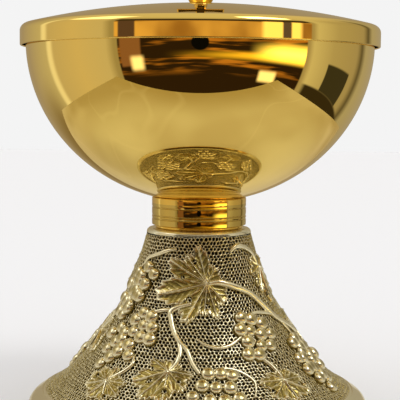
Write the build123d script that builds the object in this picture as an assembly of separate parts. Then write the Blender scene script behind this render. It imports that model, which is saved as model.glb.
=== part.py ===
from build123d import *

import math
import os

# Ciborium: a covered cup on a cast foot, for a church altar.
#
# The whole vessel is turned, spun or cast brass. A tie rod runs from a boss under the bowl, down through
# the collar and the top of the foot, and one nut inside the foot clamps the stack together. The lid lifts
# off. Its cross and knop are held by a stud and a nut inside the dome.
#
# Frame: millimetres, +Z up, origin on the table at the middle of the foot.

# ---------------------------------------------------------------- foot
FOOT_HEIGHT = 84.6  # table to the flat top of the cast foot
FOOT_TOP_STEP = 1.8  # the cast foot's top is this much wider than the collar
FOOT_SHOULDER_RADIUS = 1.8  # rounding round the flat top
FOOT_WALL = 2.2  # measured level, so the wall is thinner across the flare
FOOT_TOP_PLATE = 2.4  # thickness of the flat top
BELL_FOOT_LEVEL = 19.6  # height at which the flare ends and the slope begins
BELL_STRAIGHT_SHARE = 0.46  # how much of the flare is straight, the rest is curved
BELL_FLARE_POWER = 2.6  # how late the curved part of the flare comes
SLOPE_WIDTH = 8.4  # straight slope below the flare, out to the rim

RIM_RADIUS = 74.3  # widest radius of the foot
RIM_WIDTH = 6.3  # from the widest radius in to the cast foot
RIM_SLOPE = 34.0  # degrees below horizontal, on the rim's top and on the casting's slope
RIM_ROUNDING = 6.0
RIM_WALL = 1.5
RIM_LEDGE_WIDTH = 3.2  # ledge under the cast foot
RIM_STEP = 0.3  # the rim stands this much proud of the ledge
RIM_JOINT_GAP = 0.1  # solder gap round the cast foot

# ---------------------------------------------------------------- collar
COLLAR_RADIUS = 20.5  # at the edges of each band
BAND_CROWN = 0.05  # how far each band bulges
BASE_RING_INSET = 1.3  # the base ring is this much narrower than the collar
BASE_RING_HEIGHT = 1.6
SLEEVE_HEIGHT = 9.3
SLEEVE_WALL = 2.6
GROOVE_WIDTH = 0.6
GROOVE_DEPTH = 0.35
GROOVE_HEIGHTS = (2.7, 4.1, 7.6)  # middle of each groove above the sleeve's lower face
SEAT_RING_HEIGHT = 2.6  # at its outer edge
SEAT_RING_BORE = 11.0
SEAT_RING_EDGE = 0.8  # width of the flat edge that shows round the bowl
SEAT_RING_ROUNDING = 0.55
SLEEVE_SPIGOT = 1.2  # the seat ring drops this far into the sleeve
SPIGOT_CLEARANCE = 0.05

# ---------------------------------------------------------------- bowl
BOWL_RADIUS = 74.8
BOWL_DEPTH = 69.4  # from the widest level down to where the ellipse would end
BOWL_WALL = 1.0
BOWL_LIP = 4.5  # straight wall above the widest level
BOWL_FLAT_RADIUS = 9.5  # flat at the very bottom, for the boss
BEAD_RADIUS = 0.8  # rolled bead round the mouth
BEAD_OUTSET = 0.35  # the bead's middle lies this far outside the wall
BOSS_RADIUS = 9.0
BOSS_HEIGHT = 8.0
BOSS_HOLE_DEPTH = 6.5

# ---------------------------------------------------------------- lid
LID_CLEARANCE = 0.35  # radial, between the hem and the bowl's bead
LID_WALL = 0.8
LID_DOME_RADIUS = 312.0
LID_CORNER_RADIUS = 3.2
SKIRT_OVERLAP = 7.8  # the skirt hangs this far below the top of the bead
HEM_THICKNESS = 0.9  # rolled hem at the foot of the skirt
HEM_HEIGHT = 1.6
HEM_ROUNDING_SHARE = 0.49  # each rounding of the hem, as a share of its thickness
LID_SEAT_GAP = 0.4

# ---------------------------------------------------------------- finial
KNOP_RADIUS = 5.5
KNOP_FOOT_RADIUS = 4.6
KNOP_FOOT_HEIGHT = 0.7
KNOP_BALL_HEIGHT = 6.0
KNOP_NECK_RADIUS = 2.7
KNOP_NECK_HEIGHT = 1.0
KNOP_CAP_RADIUS = 3.4
KNOP_CAP_HEIGHT = 1.1
CROSS_SPAN = 21.6  # tip to tip of the arms
CROSS_HEIGHT = 24.5
CROSS_BAR_WIDTH = 4.6
CROSS_THICKNESS = 2.8
CROSS_ARM_HEIGHT = 10.0  # underside of the cross to the middle of its arms
CROSS_END_FLARE = 0.7  # each end is this much wider on each side
CROSS_BEVEL = 0.55
SOCKET_RADIUS = 3.0  # round socket at the foot of the cross
SOCKET_HEIGHT = 5.0
SOCKET_HOLE_DEPTH = 4.0

# ---------------------------------------------------------------- fasteners
TIE_ROD_RADIUS = 4.0  # M8
TIE_ROD_PITCH = 1.25
STUD_RADIUS = 1.5  # M3
STUD_PITCH = 0.5
THREAD_DEPTH_SHARE = 0.5  # depth of the thread's groove, as a share of the pitch
THREAD_GROOVE_SHARE = 0.4  # width of the groove at the crest, as a share of the pitch
THREAD_CLEARANCE = 0.05  # radial, between a thread and its nut
HOLE_CLEARANCE = 0.25  # radial, where a rod passes through
BRIDGE_WASHER_RADIUS = 14.0
BRIDGE_WASHER_THICKNESS = 1.5
SPRING_WASHER_RADIUS = 7.0
SPRING_WASHER_THICKNESS = 2.0
SPRING_WASHER_SLOT = 1.0
NUT_BEVEL_SHARE = 0.8  # how far in the corners are turned down, as a share of corner less flat
TIE_NUT_FLATS = 13.0
TIE_NUT_HEIGHT = 6.5
ROD_END_LENGTH = 3.5  # rod showing past the nut
ROD_TOP_GAP = 0.5  # between the rod's top and the end of the boss's hole
LID_WASHER_RADIUS = 5.5
LID_WASHER_THICKNESS = 0.8
LID_NUT_FLATS = 5.5
LID_NUT_HEIGHT = 2.4
STUD_END_LENGTH = 1.2  # stud showing past the nut
STUD_TOP_GAP = 0.5  # between the stud's top and the end of the cross's hole

# ---------------------------------------------------------------- sizes and levels that follow
bell_height = FOOT_HEIGHT - BELL_FOOT_LEVEL
foot_top_radius = COLLAR_RADIUS + FOOT_TOP_STEP
foot_edge_radius = RIM_RADIUS - RIM_WIDTH
foot_bell_radius = foot_edge_radius - SLOPE_WIDTH
rim_fall = math.tan(math.radians(RIM_SLOPE))
rim_joint_level = BELL_FOOT_LEVEL - SLOPE_WIDTH * rim_fall
base_ring_radius = COLLAR_RADIUS - BASE_RING_INSET
seat_radius = COLLAR_RADIUS - SEAT_RING_EDGE
sleeve_bottom = FOOT_HEIGHT + BASE_RING_HEIGHT
sleeve_top = sleeve_bottom + SLEEVE_HEIGHT
seat_edge = sleeve_top + SEAT_RING_HEIGHT
bowl_level = seat_edge + BOWL_DEPTH * math.sqrt(1 - (seat_radius / BOWL_RADIUS) ** 2)
bowl_bottom = bowl_level - BOWL_DEPTH * math.sqrt(1 - (BOWL_FLAT_RADIUS / BOWL_RADIUS) ** 2)
boss_bottom = bowl_bottom - BOSS_HEIGHT
bead_middle_radius = BOWL_RADIUS + BEAD_OUTSET
bead_middle_level = bowl_level + BOWL_LIP
bead_top = bead_middle_level + BEAD_RADIUS
lid_inner_dome = LID_DOME_RADIUS - LID_WALL
dome_middle_level = bead_middle_level - math.sqrt(
    (lid_inner_dome - BEAD_RADIUS - LID_SEAT_GAP) ** 2 - bead_middle_radius**2
)
skirt_bottom = bead_top - SKIRT_OVERLAP
hem_inner_radius = bead_middle_radius + BEAD_RADIUS + LID_CLEARANCE
lid_radius = hem_inner_radius + HEM_THICKNESS
rod_hole = TIE_ROD_RADIUS + HOLE_CLEARANCE
stud_hole = STUD_RADIUS + HOLE_CLEARANCE
washer_bottom = FOOT_HEIGHT - FOOT_TOP_PLATE - BRIDGE_WASHER_THICKNESS
spring_bottom = washer_bottom - SPRING_WASHER_THICKNESS
tie_nut_bottom = spring_bottom - TIE_NUT_HEIGHT


def dome_level(radius, sphere_radius):
    """Height at which a sphere of the lid's dome stands over a radius."""
    return dome_middle_level + math.sqrt(sphere_radius**2 - radius**2)


knop_bottom = dome_level(stud_hole, LID_DOME_RADIUS)
knop_height = KNOP_FOOT_HEIGHT + KNOP_BALL_HEIGHT + KNOP_NECK_HEIGHT + KNOP_CAP_HEIGHT
cross_bottom = knop_bottom + knop_height
lid_washer_top = dome_level(LID_WASHER_RADIUS, lid_inner_dome)
lid_nut_top = lid_washer_top - LID_WASHER_THICKNESS


def turned(*edges):
    """Turns a closed outline, drawn as radius across and height up, about the upright axis."""
    return revolve(Plane.XZ * make_face(edges), Axis.Z)


def ring(inner, outer, bottom, top):
    """A plain turned ring or washer, or a disc where the inner radius is 0."""
    return turned(Polyline((inner, bottom), (outer, bottom), (outer, top), (inner, top), close=True))


def threaded_rod(radius, pitch, bottom, top):
    """A rod with its thread drawn as rings: V grooves between flat crests, and bevelled ends."""
    depth = THREAD_DEPTH_SHARE * pitch
    half_groove = THREAD_GROOVE_SHARE * pitch / 2
    turns = int((top - bottom) / pitch) - 1
    first = (bottom + top - (turns - 1) * pitch) / 2
    outline = [(0, bottom), (radius - depth, bottom), (radius, bottom + depth)]
    for turn in range(turns):
        middle = first + turn * pitch
        outline += [(radius, middle - half_groove), (radius - depth, middle), (radius, middle + half_groove)]
    outline += [(radius, top - depth), (radius - depth, top), (0, top)]
    return turned(Polyline(*outline, close=True))


def hex_nut(flats, height, bottom, hole_radius):
    """A hexagon nut with its corners turned down on both faces."""
    blank = Pos(0, 0, bottom) * extrude(RegularPolygon(flats / 2, 6, major_radius=False), height)
    corner = flats / math.sqrt(3)
    bevel = (corner - flats / 2) * NUT_BEVEL_SHARE
    envelope = turned(
        Polyline(
            (hole_radius, bottom),
            (corner - bevel, bottom),
            (corner, bottom + bevel / 2),
            (corner, bottom + height - bevel / 2),
            (corner - bevel, bottom + height),
            (hole_radius, bottom + height),
            close=True,
        )
    )
    return blank & envelope


# ---------------------------------------------------------------- the foot
def bell_radius(level, inset=0.0):
    """Radius of the cast foot at a height: a straight flare and a late curved one, added together."""
    fall = (FOOT_HEIGHT - level) / bell_height
    flare = BELL_STRAIGHT_SHARE * fall + (1 - BELL_STRAIGHT_SHARE) * fall**BELL_FLARE_POWER
    return foot_top_radius + (foot_bell_radius - foot_top_radius) * flare - inset


def bell_curve(first_level, last_level, inset):
    """A smooth curve down the bell from one height to another."""
    spans = 7
    levels = [first_level + (last_level - first_level) * n / spans for n in range(spans + 1)]
    return Spline(*[(bell_radius(level, inset), level) for level in levels])


def foot_casting():
    """Lost-wax cast bell and slope that carry the vine relief. A flat plate closes the top round the tie rod."""
    shoulder = FOOT_SHOULDER_RADIUS
    outside = bell_curve(FOOT_HEIGHT - shoulder, BELL_FOOT_LEVEL, 0)
    plate_bottom = FOOT_HEIGHT - FOOT_TOP_PLATE
    inside = bell_curve(plate_bottom, BELL_FOOT_LEVEL, FOOT_WALL)
    top_edge = Line((rod_hole, FOOT_HEIGHT), (bell_radius(FOOT_HEIGHT - shoulder) - shoulder, FOOT_HEIGHT))
    return turned(
        top_edge,
        RadiusArc(top_edge @ 1, outside @ 0, shoulder),
        outside,
        Polyline(
            outside @ 1,
            (foot_edge_radius, rim_joint_level),
            (foot_edge_radius - FOOT_WALL, rim_joint_level),
            inside @ 1,
        ),
        inside,
        Polyline(inside @ 0, (rod_hole, plate_bottom), (rod_hole, FOOT_HEIGHT)),
    )


def foot_rim():
    """Spun plain rim: a ledge under the casting, a sloping top, a rounded shoulder and an upright band."""
    start = foot_edge_radius + RIM_JOINT_GAP
    top = rim_joint_level + RIM_STEP
    corner_level = top - (RIM_RADIUS - start) * rim_fall
    ledge_start = foot_edge_radius - RIM_LEDGE_WIDTH
    inner_radius = RIM_RADIUS - RIM_WALL
    inner_start_level = rim_joint_level - RIM_WALL
    inner_corner = corner_level - RIM_WALL * (1 / math.cos(math.radians(RIM_SLOPE)) - rim_fall)
    inner_bend = inner_radius - (inner_start_level - inner_corner) / rim_fall
    outline = Polyline(
        (ledge_start, inner_start_level),
        (inner_bend, inner_start_level),
        (inner_radius, inner_corner),
        (inner_radius, 0),
        (RIM_RADIUS, 0),
        (RIM_RADIUS, corner_level),
        (start, top),
        (start, rim_joint_level),
        (ledge_start, rim_joint_level),
        close=True,
    )
    face = make_face(outline)
    outer = face.vertices().sort_by_distance((RIM_RADIUS, corner_level))[0]
    face = fillet(outer, RIM_ROUNDING)
    inner = face.vertices().sort_by_distance((inner_radius, inner_corner))[0]
    face = fillet(inner, RIM_ROUNDING - RIM_WALL)
    return revolve(Plane.XZ * face, Axis.Z)


# ---------------------------------------------------------------- the collar
def collar_base_ring():
    """Turned disc with a half-round edge, between the foot and the sleeve, centred on the tie rod."""
    bottom, top = FOOT_HEIGHT, sleeve_bottom
    straight = base_ring_radius - BASE_RING_HEIGHT / 2
    return turned(
        Line((rod_hole, bottom), (straight, bottom)),
        ThreePointArc((straight, bottom), (base_ring_radius, (bottom + top) / 2), (straight, top)),
        Polyline((straight, top), (rod_hole, top), (rod_hole, bottom)),
    )


def crowned_band(low, high):
    """The bulging face of one band of the collar."""
    return ThreePointArc(
        (COLLAR_RADIUS, low), (COLLAR_RADIUS + BAND_CROWN, (low + high) / 2), (COLLAR_RADIUS, high)
    )


def groove(low, high):
    """A round-bottomed groove turned into the collar."""
    return ThreePointArc(
        (COLLAR_RADIUS, low), (COLLAR_RADIUS - GROOVE_DEPTH, (low + high) / 2), (COLLAR_RADIUS, high)
    )


def collar_sleeve():
    """Turned tube with crowned bands between narrow grooves."""
    bore = COLLAR_RADIUS - SLEEVE_WALL
    edges = [Line((bore, sleeve_bottom), (COLLAR_RADIUS, sleeve_bottom))]
    level = sleeve_bottom
    for middle in GROOVE_HEIGHTS:
        low = sleeve_bottom + middle - GROOVE_WIDTH / 2
        edges.append(crowned_band(level, low))
        level = low + GROOVE_WIDTH
        edges.append(groove(low, level))
    edges.append(crowned_band(level, sleeve_top))
    edges.append(Polyline((COLLAR_RADIUS, sleeve_top), (bore, sleeve_top), (bore, sleeve_bottom)))
    return turned(*edges)


def cup_seat_ring():
    """Turned ring under the bowl. A spigot centres it in the sleeve, and its top is cut to the bowl."""
    spigot = COLLAR_RADIUS - SLEEVE_WALL - SPIGOT_CLEARANCE
    spigot_bottom = sleeve_top - SLEEVE_SPIGOT
    rounding_start = seat_edge - SEAT_RING_ROUNDING
    blank = turned(
        Polyline(
            (SEAT_RING_BORE, spigot_bottom),
            (spigot, spigot_bottom),
            (spigot, sleeve_top),
            (COLLAR_RADIUS, sleeve_top),
        ),
        crowned_band(sleeve_top, rounding_start),
        RadiusArc(
            (COLLAR_RADIUS, rounding_start),
            (COLLAR_RADIUS - SEAT_RING_ROUNDING, seat_edge),
            -SEAT_RING_ROUNDING,
        ),
        Polyline(
            (COLLAR_RADIUS - SEAT_RING_ROUNDING, seat_edge),
            (SEAT_RING_BORE, seat_edge),
            (SEAT_RING_BORE, spigot_bottom),
        ),
    )
    return blank - bowl_outer_form()


# ---------------------------------------------------------------- the bowl
def bowl_curve(radius, depth):
    """A quarter of an ellipse, from the edge of the flat bottom up to the widest level."""
    start = -math.degrees(math.acos(BOWL_FLAT_RADIUS / radius))
    return EllipticalCenterArc((0, bowl_level), radius, depth, start_angle=start, arc_size=-start)


def bowl_outer_form():
    """The bowl's outside as a solid form, up to its widest level."""
    profile = bowl_curve(BOWL_RADIUS, BOWL_DEPTH)
    return turned(profile, Polyline(profile @ 1, (0, bowl_level), (0, bowl_bottom), profile @ 0))


def cup_bowl():
    """Spun bowl: a quarter ellipse turned round, a short straight lip, and a bead rolled outwards."""
    inner_radius = BOWL_RADIUS - BOWL_WALL
    outside = bowl_curve(BOWL_RADIUS, BOWL_DEPTH)
    inside = bowl_curve(inner_radius, BOWL_DEPTH - BOWL_WALL)
    floor_level = (inside @ 0).Y
    shell = turned(
        outside,
        Polyline(
            outside @ 1,
            (BOWL_RADIUS, bead_middle_level),
            (inner_radius, bead_middle_level),
            inside @ 1,
        ),
        inside,
        Polyline(inside @ 0, (0, floor_level), (0, bowl_bottom), outside @ 0),
    )
    bead = turned(CenterArc((bead_middle_radius, bead_middle_level), BEAD_RADIUS, 0, 360))
    return shell + bead


def cup_boss():
    """Threaded boss soldered under the bowl. The tie rod screws up into its blind hole."""
    hole = TIE_ROD_RADIUS + THREAD_CLEARANCE
    hole_top = boss_bottom + BOSS_HOLE_DEPTH
    return turned(
        Polyline(
            (hole, boss_bottom),
            (BOSS_RADIUS, boss_bottom),
            (BOSS_RADIUS, bowl_bottom),
            (0, bowl_bottom),
            (0, hole_top),
            (hole, hole_top),
            close=True,
        )
    )


# ---------------------------------------------------------------- the lid
def lid_shell():
    """Spun lid: a shallow dome, a rounded corner and a skirt that drops over the bead, with a rolled hem."""
    outer_corner = dome_level(lid_radius, LID_DOME_RADIUS)
    inner_wall = lid_radius - LID_WALL
    inner_corner = dome_level(inner_wall, lid_inner_dome)
    hem_top = skirt_bottom + HEM_HEIGHT
    dome_top = dome_level(stud_hole, LID_DOME_RADIUS)
    dome_under = dome_level(stud_hole, lid_inner_dome)
    face = make_face(
        [
            RadiusArc((stud_hole, dome_top), (lid_radius, outer_corner), LID_DOME_RADIUS),
            Polyline(
                (lid_radius, outer_corner),
                (lid_radius, skirt_bottom),
                (hem_inner_radius, skirt_bottom),
                (hem_inner_radius, hem_top),
                (inner_wall, hem_top + (inner_wall - hem_inner_radius)),
                (inner_wall, inner_corner),
            ),
            RadiusArc((inner_wall, inner_corner), (stud_hole, dome_under), -lid_inner_dome),
            Line((stud_hole, dome_under), (stud_hole, dome_top)),
        ]
    )
    corners = [
        ((lid_radius, outer_corner), LID_CORNER_RADIUS),
        ((inner_wall, inner_corner), LID_CORNER_RADIUS - LID_WALL),
        ((lid_radius, skirt_bottom), HEM_THICKNESS * HEM_ROUNDING_SHARE),
        ((hem_inner_radius, skirt_bottom), HEM_THICKNESS * HEM_ROUNDING_SHARE),
    ]
    for place, radius in corners:
        face = fillet(face.vertices().sort_by_distance(place)[0], radius)
    return revolve(Plane.XZ * face, Axis.Z)


# ---------------------------------------------------------------- the finial
def finial_knop():
    """Turned knop: a small foot, a flattened ball, a neck and a cap, bored for the stud."""
    ball_bottom = knop_bottom + KNOP_FOOT_HEIGHT
    ball_top = ball_bottom + KNOP_BALL_HEIGHT
    neck_top = ball_top + KNOP_NECK_HEIGHT
    ball = ThreePointArc(
        (KNOP_FOOT_RADIUS - KNOP_FOOT_HEIGHT / 2, ball_bottom),
        (KNOP_RADIUS, (ball_bottom + ball_top) / 2),
        (KNOP_NECK_RADIUS, ball_top),
    )
    cap_edge = KNOP_CAP_RADIUS - KNOP_CAP_HEIGHT / 2
    cap = ThreePointArc(
        (cap_edge, neck_top), (KNOP_CAP_RADIUS, (neck_top + cross_bottom) / 2), (cap_edge, cross_bottom)
    )
    return turned(
        Line((stud_hole, knop_bottom), (KNOP_FOOT_RADIUS, knop_bottom)),
        Line((KNOP_FOOT_RADIUS, knop_bottom), ball @ 0),
        ball,
        Line(ball @ 1, cap @ 0),
        cap,
        Polyline(cap @ 1, (stud_hole, cross_bottom), (stud_hole, knop_bottom)),
    )


def flared_bar(length):
    """One bar of the cross, lying across X, wider at its two ends than in its middle."""
    half, flare = CROSS_BAR_WIDTH / 2, CROSS_BAR_WIDTH / 2 + CROSS_END_FLARE
    start = length / 2 - CROSS_BAR_WIDTH
    corners = [(start, half), (length / 2, flare)]
    right = corners + [(x, -y) for x, y in reversed(corners)]
    return Polyline(*right, *[(-x, -y) for x, y in right], close=True)


def finial_cross():
    """Cast Latin cross with bevelled bars. The round socket at its foot is tapped for the stud."""
    upright = Plane.XZ * make_face(flared_bar(CROSS_HEIGHT))
    upright = Pos(0, 0, CROSS_HEIGHT / 2) * upright.rotate(Axis.Y, 90)
    arms = Pos(0, 0, CROSS_ARM_HEIGHT) * (Plane.XZ * make_face(flared_bar(CROSS_SPAN)))
    outline = upright + arms
    solid = extrude(outline, CROSS_THICKNESS / 2, both=True)
    flat_faces = solid.faces().filter_by(Axis.Y)
    solid = chamfer(flat_faces.edges(), CROSS_BEVEL)
    socket = ring(0, SOCKET_RADIUS, 0, SOCKET_HEIGHT)
    socket = chamfer(socket.edges().sort_by(Axis.Z)[-1], CROSS_BEVEL)
    hole = ring(0, STUD_RADIUS + THREAD_CLEARANCE, -SOCKET_HOLE_DEPTH, SOCKET_HOLE_DEPTH)
    return Pos(0, 0, cross_bottom) * (solid + socket - hole)


# ---------------------------------------------------------------- the fasteners
def spring_washer():
    """Split spring washer, pressed flat under the tie nut."""
    flat = ring(rod_hole, SPRING_WASHER_RADIUS, spring_bottom, washer_bottom)
    slot = Pos(SPRING_WASHER_RADIUS, 0, washer_bottom) * Box(
        SPRING_WASHER_RADIUS * 2, SPRING_WASHER_SLOT, SPRING_WASHER_THICKNESS * 3
    )
    return flat - slot


PARTS = {
    "foot_rim": foot_rim(),
    "foot_casting": foot_casting(),
    "collar_base_ring": collar_base_ring(),
    "collar_sleeve": collar_sleeve(),
    "cup_seat_ring": cup_seat_ring(),
    "cup_boss": cup_boss(),
    "cup_bowl": cup_bowl(),
    "tie_rod": threaded_rod(
        TIE_ROD_RADIUS,
        TIE_ROD_PITCH,
        tie_nut_bottom - ROD_END_LENGTH,
        boss_bottom + BOSS_HOLE_DEPTH - ROD_TOP_GAP,
    ),
    "bridge_washer": ring(
        rod_hole, BRIDGE_WASHER_RADIUS, washer_bottom, FOOT_HEIGHT - FOOT_TOP_PLATE
    ),
    "spring_washer": spring_washer(),
    "tie_nut": hex_nut(
        TIE_NUT_FLATS, TIE_NUT_HEIGHT, tie_nut_bottom, TIE_ROD_RADIUS + THREAD_CLEARANCE
    ),
    "lid_shell": lid_shell(),
    "finial_knop": finial_knop(),
    "finial_cross": finial_cross(),
    "finial_stud": threaded_rod(
        STUD_RADIUS,
        STUD_PITCH,
        lid_nut_top - LID_NUT_HEIGHT - STUD_END_LENGTH,
        cross_bottom + SOCKET_HOLE_DEPTH - STUD_TOP_GAP,
    ),
    "lid_washer": ring(stud_hole, LID_WASHER_RADIUS, lid_nut_top, lid_washer_top),
    "lid_nut": hex_nut(
        LID_NUT_FLATS, LID_NUT_HEIGHT, lid_nut_top - LID_NUT_HEIGHT, STUD_RADIUS + THREAD_CLEARANCE
    ),
}

os.makedirs("parts", exist_ok=True)
for name, solid in PARTS.items():
    export_step(solid, f"parts/{name}.step")
    print(f"{name}: {solid.volume:.0f} mm3")
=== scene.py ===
import math

import bpy
import numpy as np
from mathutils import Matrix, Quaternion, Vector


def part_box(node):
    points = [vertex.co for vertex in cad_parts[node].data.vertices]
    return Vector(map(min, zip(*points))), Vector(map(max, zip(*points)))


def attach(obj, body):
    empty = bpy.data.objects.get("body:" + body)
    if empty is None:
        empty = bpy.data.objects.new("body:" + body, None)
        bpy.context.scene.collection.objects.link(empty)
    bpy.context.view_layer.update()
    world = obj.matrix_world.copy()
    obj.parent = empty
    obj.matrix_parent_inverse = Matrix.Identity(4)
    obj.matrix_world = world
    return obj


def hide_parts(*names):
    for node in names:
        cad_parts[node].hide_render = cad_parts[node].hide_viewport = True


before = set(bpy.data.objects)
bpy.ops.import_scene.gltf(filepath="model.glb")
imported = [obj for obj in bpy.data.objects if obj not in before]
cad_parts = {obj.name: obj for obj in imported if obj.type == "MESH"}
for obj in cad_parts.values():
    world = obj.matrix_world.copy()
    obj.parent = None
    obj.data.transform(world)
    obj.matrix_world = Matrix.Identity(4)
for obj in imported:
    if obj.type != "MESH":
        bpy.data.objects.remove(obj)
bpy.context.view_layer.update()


# The bowl and the lid: spun from brass sheet, gilded pale and buffed until they mirror the room. Handling
# leaves faint smears on them, and the spinning leaves the sheet very slightly uneven.
PALE_GILT = (0.88, 0.66, 0.20, 1.0)
MIRROR_ROUGHNESS = 0.012
SMEAR_ROUGHNESS = 0.035
SMEARS_PER_METRE = 38.0
UNEVEN_PER_METRE = 16.0
UNEVEN_DEPTH = 0.00006


def add(tree, kind, **values):
    """Adds a node and sets its sockets by name, with spaces written as underscores."""
    node = tree.nodes.new(kind)
    for name, value in values.items():
        node.inputs[name.replace("_", " ")].default_value = value
    return node


def new_group(name, inputs, outputs):
    """Starts a shader node group. Sockets are given as (name, kind, default) and (name, kind)."""
    group = bpy.data.node_groups.new(name, "ShaderNodeTree")
    for label, kind, default in inputs:
        socket = group.interface.new_socket(label, in_out="INPUT", socket_type=kind)
        socket.default_value = default
    for label, kind in outputs:
        group.interface.new_socket(label, in_out="OUTPUT", socket_type=kind)
    start = group.nodes.new("NodeGroupInput")
    end = group.nodes.new("NodeGroupOutput")
    return group, start, end


def buffed_group():
    """Buffed metal: smears are two noises multiplied, and unevenness is a slow noise under fine swirls."""
    group, start, end = new_group(
        "buffed_finish",
        [
            ("Clean", "NodeSocketFloat", MIRROR_ROUGHNESS),
            ("Smeared", "NodeSocketFloat", SMEAR_ROUGHNESS),
            ("Smears", "NodeSocketFloat", SMEARS_PER_METRE),
            ("Uneven", "NodeSocketFloat", UNEVEN_PER_METRE),
        ],
        [("Roughness", "NodeSocketFloat"), ("Height", "NodeSocketFloat")],
    )
    link = group.links.new
    place = group.nodes.new("ShaderNodeTexCoord")
    broad = add(group, "ShaderNodeTexNoise", Detail=2.0, Roughness=0.5)
    fine = add(group, "ShaderNodeTexNoise", Scale=620.0, Detail=3.0, Roughness=0.6)
    smear = group.nodes.new("ShaderNodeMath")
    smear.operation = "MULTIPLY"
    spread = add(group, "ShaderNodeMapRange", From_Min=0.18, From_Max=0.42)
    slow = add(group, "ShaderNodeTexNoise", Detail=1.0)
    link(place.outputs["Object"], broad.inputs["Vector"])
    link(place.outputs["Object"], fine.inputs["Vector"])
    link(place.outputs["Object"], slow.inputs["Vector"])
    link(start.outputs["Smears"], broad.inputs["Scale"])
    link(start.outputs["Uneven"], slow.inputs["Scale"])
    link(broad.outputs["Fac"], smear.inputs[0])
    link(fine.outputs["Fac"], smear.inputs[1])
    link(smear.outputs[0], spread.inputs["Value"])
    link(start.outputs["Clean"], spread.inputs["To Min"])
    link(start.outputs["Smeared"], spread.inputs["To Max"])
    link(spread.outputs[0], end.inputs["Roughness"])
    link(slow.outputs["Fac"], end.inputs["Height"])
    return group


BUFFED = buffed_group()


def buffed_metal(name, colour, clean, smeared, depth=UNEVEN_DEPTH):
    """A polished metal. Smears drive its roughness, and unevenness bends the mirror image a little."""
    material = bpy.data.materials.new(name)
    material.use_nodes = True
    tree = material.node_tree
    shader = tree.nodes["Principled BSDF"]
    shader.inputs["Base Color"].default_value = colour
    shader.inputs["Metallic"].default_value = 1.0
    finish = tree.nodes.new("ShaderNodeGroup")
    finish.node_tree = BUFFED
    finish.inputs["Clean"].default_value = clean
    finish.inputs["Smeared"].default_value = smeared
    bump = add(tree, "ShaderNodeBump", Strength=1.0, Distance=depth)
    tree.links.new(finish.outputs["Roughness"], shader.inputs["Roughness"])
    tree.links.new(finish.outputs["Height"], bump.inputs["Height"])
    tree.links.new(bump.outputs["Normal"], shader.inputs["Normal"])
    return material


def finish_nodes(material, *nodes):
    """Gives CAD nodes a material in place of the plain one they come with."""
    for node in nodes:
        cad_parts[node].material_slots[0].material = material


pale_gilt = buffed_metal("pale_gilt_mirror", PALE_GILT, MIRROR_ROUGHNESS, SMEAR_ROUGHNESS)

MM = 0.001
SHEET_WALL = 1.0 * MM
TURNED_SEGMENTS = 288
SHARP_CORNER = 34  # degrees: a sharper bend than this shows as a crisp edge


def put_mesh(name, points, faces, patina_and_painted_shade=None, smooth=True):
    """Makes an object from points and arrays of faces. A value per point, 0 to 1, darkens it: patina in
    hollows, and painted shade and painted reflection on some of the relief.
    """
    mesh = bpy.data.meshes.new(name)
    loops = np.concatenate([f.ravel() for f in faces])
    sizes = np.concatenate([np.full(len(f), f.shape[1]) for f in faces])
    mesh.vertices.add(len(points))
    mesh.vertices.foreach_set("co", np.asarray(points, np.float32).ravel())
    mesh.loops.add(len(loops))
    mesh.loops.foreach_set("vertex_index", loops.astype(np.int32))
    mesh.polygons.add(len(sizes))
    mesh.polygons.foreach_set("loop_start", np.concatenate([[0], np.cumsum(sizes)[:-1]]).astype(np.int32))
    mesh.polygons.foreach_set("loop_total", sizes.astype(np.int32))
    mesh.polygons.foreach_set("use_smooth", np.full(len(sizes), smooth))
    mesh.update(calc_edges=True)
    mesh.validate()
    if patina_and_painted_shade is not None:
        layer = mesh.attributes.new("patina_and_painted_shade", "FLOAT", "POINT")
        layer.data.foreach_set("value", np.asarray(patina_and_painted_shade, np.float32))
    thing = bpy.data.objects.new(name, mesh)
    bpy.context.scene.collection.objects.link(thing)
    return thing


def grid_faces(rows, columns, wrap_rows=False, wrap_columns=False):
    """Quads of a grid of points, numbered row by row, optionally closed in either direction."""
    i = np.arange(rows if wrap_rows else rows - 1)[:, None]
    j = np.arange(columns if wrap_columns else columns - 1)[None, :]
    a = i * columns + j
    b = i * columns + (j + 1) % columns
    c = (i + 1) % rows * columns + (j + 1) % columns
    d = (i + 1) % rows * columns + j
    return np.stack([a, b, c, d], -1).reshape(-1, 4)


def arc_points(middle, radius, first, last, count):
    """Points of an arc, from one direction to another in degrees, as radius across and height up."""
    turn = np.radians(np.linspace(first, last, count))
    return np.stack([middle[0] + radius * np.cos(turn), middle[1] + radius * np.sin(turn)], -1)


def turned(name, outline, patina_and_painted_shade=None, segments=TURNED_SEGMENTS):
    """Turns a closed outline round the upright axis. It runs clockwise: out, down and back in below."""
    angle = np.linspace(0, 2 * np.pi, segments, endpoint=False)[None, :]
    r, z = outline[:, 0][:, None], outline[:, 1][:, None]
    points = np.stack([r * np.sin(angle), -r * np.cos(angle), z + 0 * angle], -1).reshape(-1, 3)
    faces = grid_faces(len(outline), segments, wrap_rows=True, wrap_columns=True)[:, ::-1]
    shade_and_patina = None if patina_and_painted_shade is None else np.repeat(patina_and_painted_shade, segments)
    thing = put_mesh(name, points, [faces], shade_and_patina)
    thing.data.set_sharp_from_angle(angle=math.radians(SHARP_CORNER))
    return thing


def dress(thing, material, body, slot, *stands_for):
    """A finished piece: its material, the body it rides on, a slot that is not used, and its CAD nodes."""
    thing.data.materials.append(material)
    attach(thing, body)
    if stands_for:
        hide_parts(*stands_for)
    return thing


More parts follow.
